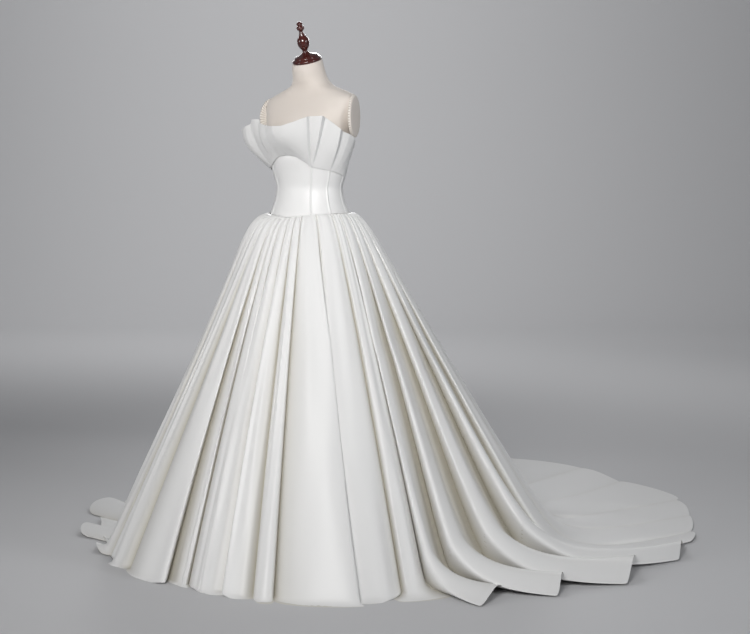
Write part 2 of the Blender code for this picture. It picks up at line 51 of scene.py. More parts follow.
CAMERA_YAW, CAMERA_PITCH = -37.793, -5.2425
CAMERA_FOCAL_PIXELS, FRAME_WIDTH_PIXELS, SENSOR = 1587.0, 750.0, 36.0

camera_data = bpy.data.cameras.new("studio_camera")
camera_data.sensor_width = SENSOR
camera_data.lens = CAMERA_FOCAL_PIXELS / FRAME_WIDTH_PIXELS * SENSOR
camera = bpy.data.objects.new("studio_camera", camera_data)
bpy.context.scene.collection.objects.link(camera)
camera.location = CAMERA_PLACE
yaw, pitch = math.radians(CAMERA_YAW), math.radians(CAMERA_PITCH)
gaze = Vector((math.sin(yaw) * math.cos(pitch), math.cos(yaw) * math.cos(pitch), math.sin(pitch)))
camera.rotation_euler = gaze.to_track_quat("-Z", "Y").to_euler()
bpy.context.scene.camera = camera

GRIDDED_SPREADS = {"key_softbox": 80.0, "back_softbox": 60.0}
SOFTBOXES = (
    # name, place, aimed at, width, height, watts, colour
    ("key_softbox", (1.6, -3.0, 2.3), (0.1, 0.0, 1.15), 1.1, 1.3, 18.5, (1.0, 0.99, 0.98)),
    ("fill_softbox", (4.9, 0.2, 1.9), (0.3, 0.2, 0.9), 1.2, 2.0, 48.0, (0.96, 0.98, 1.0)),
    ("left_softbox", (-2.4, -4.4, 1.9), (-0.2, 0.0, 0.9), 1.0, 2.0, 38.0, (1.0, 1.0, 1.0)),
    ("back_softbox", (-2.9, 3.7, 2.6), (0.0, 0.1, 0.85), 1.2, 1.6, 7.5, (0.98, 0.99, 1.0)),
    ("rim_strip", (-0.6, 4.6, 3.0), (0.0, 0.4, 1.0), 3.0, 0.8, 25.0, (1.0, 1.0, 1.0)),
    ("backdrop_softbox", (-3.6, 3.2, 4.6), (-6.0, 8.5, 1.5), 3.0, 2.0, 160.0, (1.0, 1.0, 1.0)),
)
for name, place, target, width, height, watts, colour in SOFTBOXES:
    lamp = bpy.data.lights.new(name, "AREA")
    lamp.shape = "RECTANGLE"
    lamp.size, lamp.size_y = width, height
    lamp.energy = watts
    lamp.spread = math.radians(GRIDDED_SPREADS.get(name, 180.0))
    lamp.color = colour
    softbox = bpy.data.objects.new(name, lamp)
    softbox.location = place
    aim = Vector(target) - Vector(place)
    softbox.rotation_euler = aim.to_track_quat("-Z", "Y").to_euler()
    bpy.context.scene.collection.objects.link(softbox)

world = bpy.data.worlds.new("studio_air")
world.use_nodes = True
world.node_tree.nodes["Background"].inputs["Color"].default_value = (0.80, 0.82, 0.86, 1.0)
world.node_tree.nodes["Background"].inputs["Strength"].default_value = 0.17
bpy.context.scene.world = world
bpy.context.scene.view_settings.view_transform = "Standard"


class Wire:
    """A value socket in a shader tree. Sums on it add the Math nodes that work them out."""

    def __init__(self, tree, socket):
        self.tree, self.socket = tree, socket

    def maths(self, operation, *terms):
        node = self.tree.nodes.new("ShaderNodeMath")
        node.operation = operation
        for socket, term in zip(node.inputs, terms):
            if isinstance(term, Wire):
                self.tree.links.new(term.socket, socket)
            else:
                socket.default_value = term
        return Wire(self.tree, node.outputs[0])

    def __add__(self, other):
        return self.maths("ADD", self, other)

    __radd__ = __add__

    def __mul__(self, other):
        return self.maths("MULTIPLY", self, other)

    __rmul__ = __mul__

    def __sub__(self, other):
        return self.maths("SUBTRACT", self, other)

    def __rsub__(self, other):
        return self.maths("SUBTRACT", other, self)

    def clamped(self):
        return self.maths("MINIMUM", self.maths("MAXIMUM", self, 0.0), 1.0)


class Finish:
    """A Principled material under construction, with its fixed values set on the shader."""

    def __init__(self, name, **fixed):
        self.material = bpy.data.materials.new(name)
        self.material.use_nodes = True
        self.tree = self.material.node_tree
        self.shader = self.tree.nodes["Principled BSDF"]
        for socket, value in fixed.items():
            self.shader.inputs[socket.replace("_", " ")].default_value = value

    def node(self, kind, settings=None, inputs=None, output=0):
        """Any node by type: its settings first, then the values or links of its sockets."""
        node = self.tree.nodes.new(kind)
        for name, value in (settings or {}).items():
            if name == "stops":
                ramp = node.color_ramp.elements
                for _ in range(len(value) - len(ramp)):
                    ramp.new(0.5)
                for stop, (place, colour) in zip(ramp, value):
                    stop.position, stop.color = place, colour
            else:
                setattr(node, name, value)
        for name, value in (inputs or {}).items():
            if isinstance(value, Wire):
                self.tree.links.new(value.socket, node.inputs[name])
            else:
                node.inputs[name].default_value = value
        return Wire(self.tree, node.outputs[output])

    def feed(self, socket, wire):
        self.tree.links.new(wire.socket, self.shader.inputs[socket])

    def mix(self, factor, first, second):
        """A colour between two colours or wires by a factor."""
        settings = {"data_type": "RGBA"}
        return self.node("ShaderNodeMix", settings, {0: factor, 6: first, 7: second}, 2)

    def bump(self, height, strength, distance):
        values = {"Height": height, "Strength": strength, "Distance": distance}
        self.feed("Normal", self.node("ShaderNodeBump", None, values))


def mesh_piece(name, points, faces, material, uv=None, sharp=60.0, **attributes):
    """One object from an array of points and an array of faces with equal corner counts."""
    mesh = bpy.data.meshes.new(name)
    faces = np.asarray(faces)
    mesh.vertices.add(len(points))
    mesh.vertices.foreach_set("co", np.asarray(points, np.float32).ravel())
    mesh.loops.add(faces.size)
    mesh.loops.foreach_set("vertex_index", faces.astype(np.int32).ravel())
    mesh.polygons.add(len(faces))
    mesh.polygons.foreach_set("loop_start", np.arange(0, faces.size, faces.shape[1], np.int32))
    mesh.update(calc_edges=True)
    if uv is not None:
        layer = mesh.uv_layers.new(name="cloth")
        layer.data.foreach_set("uv", np.asarray(uv, np.float32)[faces.ravel()].ravel())
    for key, values in attributes.items():
        layer = mesh.attributes.new(key, "FLOAT", "POINT")
        layer.data.foreach_set("value", np.asarray(values, np.float32))
    mesh.validate()
    mesh.shade_smooth()
    mesh.set_sharp_from_angle(angle=math.radians(sharp))
    mesh.materials.append(material)
    piece = bpy.data.objects.new(name, mesh)
    bpy.context.scene.collection.objects.link(piece)
    return piece


def grid_faces(rows, columns, closed=False):
    """Quads of a grid of rows by columns, joined round from last column to first if closed."""
    index = np.arange(rows * columns).reshape(rows, columns)
    if closed:
        index = np.concatenate([index, index[:, :1]], axis=1)
    corners = [index[:-1, :-1], index[1:, :-1], index[1:, 1:], index[:-1, 1:]]
    return np.stack([corner.ravel() for corner in corners], axis=-1)


FLOOR_HALF_WIDTH, FLOOR_FRONT, FLOOR_BACK = 14.0, -9.0, 7.0
FLOOR_BEND_RADIUS, BACKDROP_HEIGHT, FLOOR_TURN, FLOOR_BEND_STEPS = 3.0, 7.0, 38.0, 24
run = np.linspace(0.0, math.pi / 2, FLOOR_BEND_STEPS)
sweep_y = np.concatenate([[FLOOR_FRONT], FLOOR_BACK + FLOOR_BEND_RADIUS * np.sin(run)])
sweep_z = np.concatenate([[0.0], FLOOR_BEND_RADIUS * (1 - np.cos(run))])
sweep_y, sweep_z = np.append(sweep_y, sweep_y[-1]), np.append(sweep_z, BACKDROP_HEIGHT)
floor_turn = math.radians(FLOOR_TURN)
sides = np.array([-FLOOR_HALF_WIDTH, FLOOR_HALF_WIDTH])
floor_points = np.stack(
    [
        sides * math.cos(floor_turn) - sweep_y[:, None] * math.sin(floor_turn),
        sides * math.sin(floor_turn) + sweep_y[:, None] * math.cos(floor_turn),
        sweep_z[:, None] + 0 * sides,
    ],
    axis=-1,
)
paper = Finish("studio_paper", Roughness=0.85)
mottle = paper.node("ShaderNodeTexNoise", None, {"Scale": 1.3, "Detail": 2.0})
paper.feed("Base Color", paper.mix(mottle, (0.60, 0.60, 0.61, 1.0), (0.64, 0.64, 0.65, 1.0)))
floor = mesh_piece(
    "studio_floor", floor_points.reshape(-1, 3), grid_faces(len(sweep_y), 2)[:, ::-1], paper.material
)


# Stand: a round steel plate and a tube, painted satin black, that carry the form inside the
# skirt. Only the plate and the tube's foot can be seen, from below or through the hem.
paint = Finish("satin_black_paint", Metallic=0.6, Coat_Weight=0.25, Coat_Roughness=0.2)
place = paint.node("ShaderNodeTexCoord", output=3)
peel = paint.node("ShaderNodeTexNoise", None, {"Vector": place, "Scale": 900.0, "Detail": 2.0})
scuffs = paint.node("ShaderNodeTexNoise", None, {"Vector": place, "Scale": 22.0, "Detail": 5.0})
paint.feed("Base Color", paint.mix(scuffs, (0.020, 0.020, 0.022, 1.0), (0.045, 0.045, 0.048, 1.0)))
paint.feed("Roughness", 0.32 + 0.2 * scuffs)
paint.bump(peel, 0.12, 0.0003)
for name in ("form_base", "form_pole"):
    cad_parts[name].data.materials.clear()
    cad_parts[name].data.materials.append(paint.material)


# Dress form: a moulded torso under tight undyed cotton jersey, seamed at the sides and the
# centre back, with the shoulders cut flat for the arm plates and the neck cut at a slant.
TORSO = (
    # height, half_width, half_depth, back, square
    (0.800, 0.1560, 0.1180, 0.000, 2.0),
    (0.860, 0.1620, 0.1240, 0.000, 2.0),
    (0.940, 0.1560, 0.1200, 0.000, 2.0),
    (1.010, 0.1450, 0.1140, 0.000, 2.0),
    (1.062, 0.1373, 0.1093, 0.000, 2.0),
    (1.110, 0.1180, 0.0960, 0.000, 2.0),
    (1.152, 0.1103, 0.0883, 0.000, 2.0),
    (1.200, 0.1240, 0.0975, 0.000, 2.0),
    (1.250, 0.1330, 0.1090, -0.003, 2.1),
    (1.285, 0.1380, 0.1115, -0.003, 2.1),
    (1.330, 0.1500, 0.1050, 0.002, 2.2),
    (1.375, 0.1660, 0.0900, 0.011, 2.4),
    (1.410, 0.1760, 0.0760, 0.018, 2.6),
    (1.436, 0.1700, 0.0650, 0.020, 2.4),
    (1.456, 0.1300, 0.0590, 0.020, 2.1),
    (1.474, 0.0800, 0.0570, 0.016, 2.0),
    (1.492, 0.0600, 0.0560, 0.008, 2.0),
    (1.520, 0.0530, 0.0520, -0.003, 2.0),
)
FRONT, BACK = -90.0, 90.0
NECK_TOP_HEIGHT, NECK_TOP_RADIUS, NECK_TOP_BACK, NECK_TILT = 1.550, 0.0478, -0.010, 18.0
PLATE_CENTRE, PLATE_TURN = (0.163, 0.016, 1.376), 20.0
PLATE_HALF_WIDTH, PLATE_HALF_HEIGHT, PLATE_THICKNESS = 0.050, 0.066, 0.009
JERSEY_COLOURS = ((0.71, 0.645, 0.585, 1.0), (0.78, 0.72, 0.665, 1.0))
TORSO_COLUMNS, TORSO_RINGS, NECK_RINGS = 144, 170, 8


def column(table, index):
    return np.array([row[index] for row in table], float)


def smooth_table(x, xs, ys):
    """Cubic through the rows of a table, with slopes from each row's neighbours."""
    slopes = np.gradient(ys, xs)
    cell = np.clip(np.searchsorted(xs, x, side="right") - 1, 0, len(xs) - 2)
    width = xs[cell + 1] - xs[cell]
    s = np.clip((x - xs[cell]) / width, 0.0, 1.0)
    start = (1 + 2 * s) * (1 - s) ** 2 * ys[cell] + s * (1 - s) ** 2 * width * slopes[cell]
    end = s * s * (3 - 2 * s) * ys[cell + 1] + s * s * (s - 1) * width * slopes[cell + 1]
    return start + end


def torso_point(angle, height, clearance=0.0):
    """Points round the torso: a squared ellipse at each height, moved out by a clearance."""
    section = [smooth_table(height, column(TORSO, 0), column(TORSO, i)) for i in (1, 2, 3, 4)]
    half_width, half_depth, back, square = section
    cos, sin = np.cos(np.radians(angle)), np.sin(np.radians(angle))
    across = (half_width + clearance) * np.sign(cos) * np.abs(cos) ** (2 / square)
    along = (half_depth + clearance) * np.sign(sin) * np.abs(sin) ** (2 / square)
    return np.stack([across, along + back, height + 0 * cos], axis=-1)


def plate_frame(side):
    """Centre, outward normal, and the level direction in the plane of an arm plate."""
    turn = math.radians(PLATE_TURN)
    centre = np.array(PLATE_CENTRE) * (side, 1, 1)
    normal = np.array([side * math.cos(turn), math.sin(turn), 0.0])
    return centre, normal, np.array([-side * math.sin(turn), math.cos(turn), 0.0])


def capped(points, columns):
    """A stack of rings closed by a fan of quads to a point at the middle of each end."""
    rings = points.reshape(-1, columns, 3)
    low = np.repeat(rings[0].mean(0, keepdims=True), columns, axis=0)
    high = np.repeat(rings[-1].mean(0, keepdims=True), columns, axis=0)
    rings = np.concatenate([low[None], rings, high[None]])
    return rings.reshape(-1, 3), grid_faces(len(rings), columns, closed=True)[:, ::-1]


def welded(piece, distance=0.00001):
    """Joins points that lie on each other, such as a lathe's poles, and points faces out."""
    shape = bmesh.new()
    shape.from_mesh(piece.data)
    bmesh.ops.remove_doubles(shape, verts=shape.verts, dist=distance)
    bmesh.ops.recalc_face_normals(shape, faces=shape.faces)
    shape.to_mesh(piece.data)
    shape.free()
    return piece


jersey = Finish("form_jersey", Sheen_Weight=0.25, Sheen_Roughness=0.5, IOR=1.4)
place = jersey.node("ShaderNodeTexCoord", output=3)
cloud = jersey.node("ShaderNodeTexNoise", None, {"Vector": place, "Scale": 9.0, "Detail": 4.0})
knit = jersey.node("ShaderNodeTexNoise", None, {"Vector": place, "Scale": 1100.0, "Detail": 1.0})
seam = jersey.node("ShaderNodeAttribute", {"attribute_name": "seam"}, output=2)
tone = jersey.mix(cloud, *JERSEY_COLOURS)
jersey.feed("Base Color", jersey.mix(seam * 0.5, tone, (0.55, 0.47, 0.40, 1.0)))
jersey.feed("Roughness", 0.72 + 0.12 * knit)
jersey.bump(knit * 0.6 + seam * -1.5, 0.35, 0.0006)

around = np.arange(TORSO_COLUMNS) * 360.0 / TORSO_COLUMNS
heights = np.linspace(TORSO[0][0], TORSO[-1][0], TORSO_RINGS)
torso = torso_point(around[None, :] + 0 * heights[:, None], heights[:, None])
for side in (1, -1):
    centre, normal, _ = plate_frame(side)
    beyond = (torso - centre) @ normal
    torso[..., 0] -= np.maximum(beyond, 0.0) / normal[0]
turn, tilt = np.radians(around), math.radians(NECK_TILT)
neck_top = np.stack(
    [
        NECK_TOP_RADIUS * np.cos(turn),
        NECK_TOP_BACK + NECK_TOP_RADIUS * np.sin(turn) * math.cos(tilt),
        NECK_TOP_HEIGHT + NECK_TOP_RADIUS * np.sin(turn) * math.sin(tilt),
    ],
    axis=-1,
)
rise = np.linspace(0.0, 1.0, NECK_RINGS + 1)[1:, None, None]
torso = np.concatenate([torso, torso[-1] + (neck_top - torso[-1]) * rise])
points, faces = capped(torso, TORSO_COLUMNS)
seam_angle = np.degrees(np.arctan2(points[:, 1] - 0.01, points[:, 0]))
seam_line = np.minimum(np.abs(seam_angle - BACK), np.abs(np.abs(seam_angle) - 180.0))
seam_line = np.exp(-((np.minimum(seam_line, np.abs(seam_angle)) / 1.1) ** 2))
form = welded(mesh_piece("form_torso_cover", points, faces, jersey.material, seam=seam_line))
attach(form, "root")
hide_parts("form_torso")


# Arm plates: flat ovals that close the cut shoulders, covered in the same jersey with its
# edge whip-stitched round the rim, which shows as a speckled line.
PLATE_COLUMNS, PLATE_GAP = 96, 0.0003
PLATE_PROFILE = (
    # share of the thickness, size
    (0.00, 0.985),
    (0.05, 1.000),
    (0.55, 1.000),
    (0.80, 0.985),
    (0.95, 0.950),
    (1.00, 0.900),
    (1.00, 0.450),
)
whip = Finish("form_plate_jersey", Sheen_Weight=0.2, Sheen_Roughness=0.5, IOR=1.4)
place = whip.node("ShaderNodeTexCoord", output=3)
cloud = whip.node("ShaderNodeTexNoise", None, {"Vector": place, "Scale": 14.0, "Detail": 4.0})
knit = whip.node("ShaderNodeTexNoise", None, {"Vector": place, "Scale": 1100.0, "Detail": 1.0})
rim = whip.node("ShaderNodeAttribute", {"attribute_name": "rim"}, output=2)
beads = whip.node("ShaderNodeAttribute", {"attribute_name": "bead"}, output=2)
stitches = (rim * (beads * 0.5 + 0.5)).clamped()
tone = whip.mix(rim * 0.6, whip.mix(cloud, *JERSEY_COLOURS), (0.42, 0.36, 0.30, 1.0))
whip.feed("Base Color", whip.mix(stitches, tone, (0.95, 0.92, 0.86, 1.0)))
whip.feed("Roughness", 0.74 - 0.15 * stitches)
whip.bump(knit * 0.4 + stitches * 1.6, 0.5, 0.0008)
turn = np.arange(PLATE_COLUMNS) * 2 * np.pi / PLATE_COLUMNS
for side, name in ((1, "left"), (-1, "right")):
    centre, normal, level = plate_frame(side)
    outline = side * np.cos(turn)[:, None] * level * PLATE_HALF_WIDTH
    outline = outline + np.sin(turn)[:, None] * np.array([0.0, 0.0, PLATE_HALF_HEIGHT])
    rings = []
    for out, size in PLATE_PROFILE:
        rings.append(centre + outline * size + normal * (PLATE_GAP + out * PLATE_THICKNESS))
    points, faces = capped(np.array(rings), PLATE_COLUMNS)
    ring = np.repeat(np.arange(len(PLATE_PROFILE) + 2), PLATE_COLUMNS)
    rim_mask = np.isin(ring, (1, 2, 3)).astype(float)
    bead = np.cos(np.tile(turn, len(PLATE_PROFILE) + 2) * PLATE_COLUMNS / 2)
    cover_name = "form_arm_plate_cover_" + name
    plate = mesh_piece(cover_name, points, faces, whip.material, rim=rim_mask, bead=bead)
    welded(plate)
    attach(plate, "root")
    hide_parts("form_arm_plate_" + name)


# Neck cap: a turned finial of mahogany with a wide foot, a waist, a ball and a bobbin,
# French polished to a deep gloss.
CAP_PROFILE = (
    # height, radius
    (0.0000, 0.0450),
    (0.0040, 0.0466),
    (0.0075, 0.0462),
    (0.0100, 0.0436),
    (0.0120, 0.0396),
    (0.0150, 0.0392),
    (0.0185, 0.0350),
    (0.0215, 0.0270),
    (0.0260, 0.0150),
    (0.0310, 0.0098),
    (0.0360, 0.0085),
    (0.0400, 0.0104),
    (0.0425, 0.0124),
    (0.0460, 0.0148),
    (0.0520, 0.0176),
    (0.0600, 0.0192),
    (0.0680, 0.0190),
    (0.0740, 0.0168),
    (0.0785, 0.0134),
    (0.0830, 0.0104),
    (0.0880, 0.0084),
    (0.0930, 0.0070),
    (0.0980, 0.0066),
    (0.1010, 0.0094),
    (0.1040, 0.0116),
    (0.1080, 0.0125),
    (0.1120, 0.0114),
    (0.1150, 0.0082),
    (0.1170, 0.0080),
    (0.1195, 0.0098),
    (0.1225, 0.0092),
    (0.1255, 0.0062),
    (0.1275, 0.0022),
)
CAP_COLUMNS, CAP_ROWS = 72, 150
mahogany = Finish("polished_mahogany", Coat_Weight=1.0, Coat_Roughness=0.04, IOR=1.5)
place = mahogany.node("ShaderNodeTexCoord", output=3)
stretch = {"Vector": place, "Scale": (1.0, 1.0, 0.14)}
grain_place = mahogany.node("ShaderNodeMapping", None, stretch)
grain = mahogany.node("ShaderNodeTexNoise", None, {"Vector": grain_place, "Scale": 260.0, "Detail": 6.0})
figure = mahogany.node("ShaderNodeTexNoise", None, {"Vector": grain_place, "Scale": 38.0, "Detail": 3.0})
wood = [
    (0.25, (0.020, 0.0035, 0.003, 1.0)),
    (0.52, (0.070, 0.010, 0.007, 1.0)),
    (0.80, (0.135, 0.022, 0.012, 1.0)),
]
tone = mahogany.node("ShaderNodeValToRGB", {"stops": wood}, {"Fac": 0.55 * grain + 0.45 * figure})
mahogany.feed("Base Color", tone)
mahogany.feed("Roughness", 0.16 + 0.12 * grain)
mahogany.bump(grain, 0.05, 0.0003)
profile_height = np.linspace(0.0, CAP_PROFILE[-1][0], CAP_ROWS)
profile_radius = smooth_table(profile_height, column(CAP_PROFILE, 0), column(CAP_PROFILE, 1))
turn = np.arange(CAP_COLUMNS) * 2 * np.pi / CAP_COLUMNS
level = profile_height[:, None] + 0.0003 + 0 * turn
across = profile_radius[:, None] * np.cos(turn)
deep = profile_radius[:, None] * np.sin(turn)
cap = np.stack(
    [
        across,
        NECK_TOP_BACK + deep * math.cos(tilt) - level * math.sin(tilt),
        NECK_TOP_HEIGHT + deep * math.sin(tilt) + level * math.cos(tilt),
    ],
    axis=-1,
)
points, faces = capped(cap, CAP_COLUMNS)
finial = welded(mesh_piece("form_neck_finial", points, faces, mahogany.material, sharp=50.0))
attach(finial, "root")
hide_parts("form_neck_cap")


# Bodice: nine satin panels over a boned lining, joined by princess seams whose pressed
# allowances and bones stand up as fine raised lines, down to the low waist seam.
CLOTH, WALL, SEAM_GAP, FORM_GAP = 0.002, 0.0009, 0.0003, 0.0016
WAIST_HALF_WIDTH, WAIST_HALF_DEPTH = 0.1400, 0.1120
WAIST_HEIGHT_FRONT, WAIST_HEIGHT_BACK = 1.062, 1.075
BODICE_SEAMS = (36.0, 65.0, 100.0, 140.0)
BODICE_NAMES = ("bodice_side_front", "bodice_side", "bodice_side_back", "bodice_back")
BODICE_TOP = (
    # away, height
    (0.0, 1.318),
    (35.0, 1.322),
    (65.0, 1.312),
    (95.0, 1.296),
    (130.0, 1.268),
    (180.0, 1.262),
)
BONE_HEIGHT, BONE_WIDTH = 0.0018, 1.35
BODICE_ROWS, BODICE_STEP = 90, 1.0
# SATIN_LIGHT is the satin's own white; the second colour is a dark ivory painted as shade into the skirt's
# valleys and onto the cloth's inner face.
SATIN_LIGHT, SATIN_PAINTED_FOLD_SHADE = (0.830, 0.828, 0.820, 1.0), (0.50, 0.47, 0.39, 1.0)


def satin_finish(name, roughness=0.36):
    """Duchess satin: bright floats over a twill ground, a soft lustre and painted shade in the folds.

    The colour runs from the satin's white to a painted shade of dark ivory by the painted fold shade
    attribute, the threads are two crossed wave patterns on the cloth's own UV in metres, and slubs vary
    the roughness.
    """
    finish = Finish(name, IOR=1.45, Sheen_Weight=0.18, Sheen_Roughness=0.35, Anisotropic=0.35)
    cloth = finish.node("ShaderNodeUVMap", {"uv_map": "cloth"})
    fold = finish.node("ShaderNodeAttribute", {"attribute_name": "fold"}, output=2)
    stitch = finish.node("ShaderNodeAttribute", {"attribute_name": "stitch"}, output=2)
    threads = {"Vector": cloth, "Scale": 420.0, "Distortion": 0.4, "Detail": 1.0}
    warp = finish.node("ShaderNodeTexWave", {"bands_direction": "X"}, threads)
    weft = finish.node("ShaderNodeTexWave", {"bands_direction": "Y"}, dict(threads, Scale=300.0))
    slub_place = finish.node("ShaderNodeMapping", None, {"Vector": cloth, "Scale": (60.0, 6.0, 1.0)})
    slub = finish.node("ShaderNodeTexNoise", None, {"Vector": slub_place, "Scale": 4.0, "Detail": 3.0})
    # Painted shade: the white darkens towards dark ivory by the painted fold shade value.
    tone = finish.mix(fold, SATIN_LIGHT, SATIN_PAINTED_FOLD_SHADE)
    finish.feed("Base Color", finish.mix(stitch * 0.35, tone, (0.62, 0.60, 0.56, 1.0)))
    finish.feed("Roughness", roughness - 0.03 + 0.08 * slub)
    finish.bump(warp * 0.5 + weft * 0.35 + slub * 0.3 - stitch * 2.0, 0.10, 0.0004)
    return finish.material


satin = satin_finish("ivory_satin")


def away_from_front(angle):
    """Unsigned angle from the centre front, 0 to 180."""
    return np.abs((np.asarray(angle) - FRONT + 180.0) % 360.0 - 180.0)


def waist_height(angle):
    """The seam dips at the centre front and is level from the sides to the back."""
    rise = WAIST_HEIGHT_BACK - WAIST_HEIGHT_FRONT
    return WAIST_HEIGHT_FRONT + rise * np.sin(np.radians(np.minimum(away_from_front(angle), 90.0)))


def grid_normals(points, closed=False):
    """Unit normals of a grid whose rows run down and columns run round to the left."""
    if closed:
        padded = np.concatenate([points[:, -1:], points, points[:, :1]], axis=1)
        across = padded[:, 2:] - padded[:, :-2]
    else:
        across = np.gradient(points, axis=1)
    normal = np.cross(np.gradient(points, axis=0), across)
    return normal / np.maximum(np.linalg.norm(normal, axis=-1, keepdims=True), 1e-12)


def wall_faces(rows, columns):
    """Quads of a cloth wall: the outer grid, the inner grid turned over, and four rims."""
    index = np.arange(rows * columns).reshape(rows, columns)
    inside = index + rows * columns
    outer = grid_faces(rows, columns)
    faces = [outer, outer[:, ::-1] + rows * columns]
    rims = (
        (index[0, :-1], index[0, 1:], inside[0, 1:], inside[0, :-1]),
        (index[-1, 1:], index[-1, :-1], inside[-1, :-1], inside[-1, 1:]),
        (index[1:, 0], index[:-1, 0], inside[:-1, 0], inside[1:, 0]),
        (index[:-1, -1], index[1:, -1], inside[1:, -1], inside[:-1, -1]),
    )
    return np.concatenate(faces + [np.stack(rim, axis=-1) for rim in rims])


def part_at_seams(outer, gap=SEAM_GAP / 2):
    """Moves a panel's first and last columns in from the seam, square to the seam's run."""
    outer = outer.copy()
    down = np.gradient(outer, axis=0)
    down /= np.linalg.norm(down, axis=-1, keepdims=True)
    for edge, beside in ((0, 1), (-1, -2)):
        across = outer[:, beside] - outer[:, edge]
        across -= np.sum(across * down[:, edge], axis=-1, keepdims=True) * down[:, edge]
        outer[:, edge] += gap * across / np.linalg.norm(across, axis=-1, keepdims=True)
    return outer


def cloth_wall(name, outer, normals, fold=None, stitch=None, floor=None, material=None):
    """A closed wall of cloth between an outer grid and the same grid moved in by the cloth.

    Its UV map is in metres: across from the grid's middle row, down from its lower edge.
    """
    inner = outer - WALL * normals
    if floor is not None:
        outer, inner = outer.copy(), inner.copy()
        outer[..., 2] = np.maximum(outer[..., 2], floor)
        inner[..., 2] = np.maximum(inner[..., 2], floor + 0.0002)
    rows, columns = outer.shape[:2]
    step_down = np.linalg.norm(np.diff(outer, axis=0), axis=-1)
    rise = np.concatenate([np.cumsum(step_down[::-1], axis=0)[::-1], np.zeros((1, columns))])
    step_across = np.linalg.norm(np.diff(outer[rows * 2 // 3], axis=0), axis=-1)
    run = np.concatenate([[0.0], np.cumsum(step_across)]) + 0 * rise
    uv = np.stack([run, rise], axis=-1).reshape(-1, 2)
    points = np.concatenate([outer.reshape(-1, 3), inner.reshape(-1, 3)])
    blank = np.zeros(rows * columns)
    fold = blank if fold is None else fold.ravel()
    stitch = blank if stitch is None else stitch.ravel()
    return mesh_piece(
        name,
        points,
        wall_faces(rows, columns),
        material or satin,
        uv=np.concatenate([uv, uv]),
        # Painted shade: the outer face keeps the fold shade it is given, and the inner face is painted at
        # least 0.6 of the way to dark ivory, as the inside of the cloth lies in shade.
        fold=np.concatenate([fold, np.maximum(fold, 0.6)]),
        stitch=np.concatenate([stitch, blank]),
    )


edges = (0.0,) + BODICE_SEAMS + (180.0,)
away, seams = [0.0], [0]
for first, last in zip(edges, edges[1:]):
    away += list(np.linspace(first, last, round((last - first) / BODICE_STEP) + 1)[1:])
    seams.append(len(away) - 1)
away = np.array(away)
around = np.concatenate([-away[:0:-1], away[:-1]])
low = waist_height(FRONT + around) + SEAM_GAP
high = smooth_table(np.abs(around), column(BODICE_TOP, 0), column(BODICE_TOP, 1))
height = low + (high - low) * np.linspace(1.0, 0.0, BODICE_ROWS + 1)[:, None]
near_seam = np.min(np.abs(np.abs(around)[:, None] - np.array(BODICE_SEAMS)), axis=1)
bone = BONE_HEIGHT * np.exp(-((near_seam / BONE_WIDTH) ** 4))
bodice = torso_point(FRONT + around + 0 * height, height, FORM_GAP + CLOTH + bone)
bodice_normals = grid_normals(bodice, closed=True)
middle = len(away) - 1
panels = [("bodice_front", middle - seams[1], middle + seams[1])]
for name, first, last in zip(BODICE_NAMES, seams[1:], seams[2:]):
    panels.append((name + "_left", middle + first, middle + last))
    panels.append((name + "_right", middle - last, middle - first))
for name, first, last in panels:
    take = np.arange(first, last + 1) % len(around)
    panel = cloth_wall(name + "_satin", part_at_seams(bodice[:, take]), bodice_normals[:, take])
    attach(panel, "root")
    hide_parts(name)


# Bust overlay: one band of stiffened satin, pleated like a fan on each side, whose feet are
# caught to the bodice under the bust while its top edge stands free of the form.
FAN_CREASES = (
    # top_away, foot_away, radius, height, foot, bow; angles below zero are the wearer's right
    (-103.0, -97.0, 0.156, 1.282, 1.190, 0.002),
    (-96.0, -86.0, 0.172, 1.290, 1.197, 0.004),
    (-88.0, -76.0, 0.188, 1.303, 1.203, 0.008),
    (-79.0, -69.0, 0.196, 1.312, 1.208, 0.010),
    (-71.0, -62.0, 0.200, 1.318, 1.210, 0.014),
    (-63.0, -55.0, 0.212, 1.326, 1.213, 0.020),
    (-54.0, -46.0, 0.2165, 1.3365, 1.218, 0.024),
    (-45.0, -41.0, 0.2035, 1.347, 1.220, 0.024),
    (-37.5, -38.0, 0.189, 1.354, 1.222, 0.020),
    (-34.0, -35.0, 0.1885, 1.3675, 1.224, 0.018),
    (-22.0, -24.0, 0.179, 1.3675, 1.236, 0.020),
    (-18.0, -20.0, 0.181, 1.3535, 1.242, 0.020),
    (-8.0, -10.0, 0.185, 1.3475, 1.252, 0.018),
    (3.7, 3.6, 0.200, 1.3435, 1.256, 0.016),
    (14.6, 16.0, 0.203, 1.344, 1.2505, 0.016),
    (26.6, 28.0, 0.208, 1.356, 1.2335, 0.014),
    (37.6, 33.6, 0.215, 1.370, 1.2215, 0.012),
    (40.0, 35.4, 0.201, 1.372, 1.221, 0.008),
    (50.6, 37.2, 0.217, 1.3735, 1.2195, 0.012),
    (54.2, 39.2, 0.200, 1.369, 1.218, 0.008),
    (60.5, 51.6, 0.206, 1.3525, 1.212, 0.010),
    (67.2, 64.0, 0.212, 1.3335, 1.208, 0.010),
    (71.4, 67.2, 0.197, 1.3275, 1.206, 0.006),
    (79.0, 73.6, 0.197, 1.3195, 1.2035, 0.008),
    (88.0, 80.9, 0.190, 1.309, 1.200, 0.006),
    (96.0, 88.5, 0.172, 1.292, 1.196, 0.004),
    (103.0, 98.0, 0.156, 1.282, 1.190, 0.002),
)
FAN_ROWS, FAN_STEPS, FAN_ROUNDING, FAN_REACH = 40, 14, 1.3, 6
FAN_CLEARANCE, FAN_FRONT_LAST = 0.0010, 4


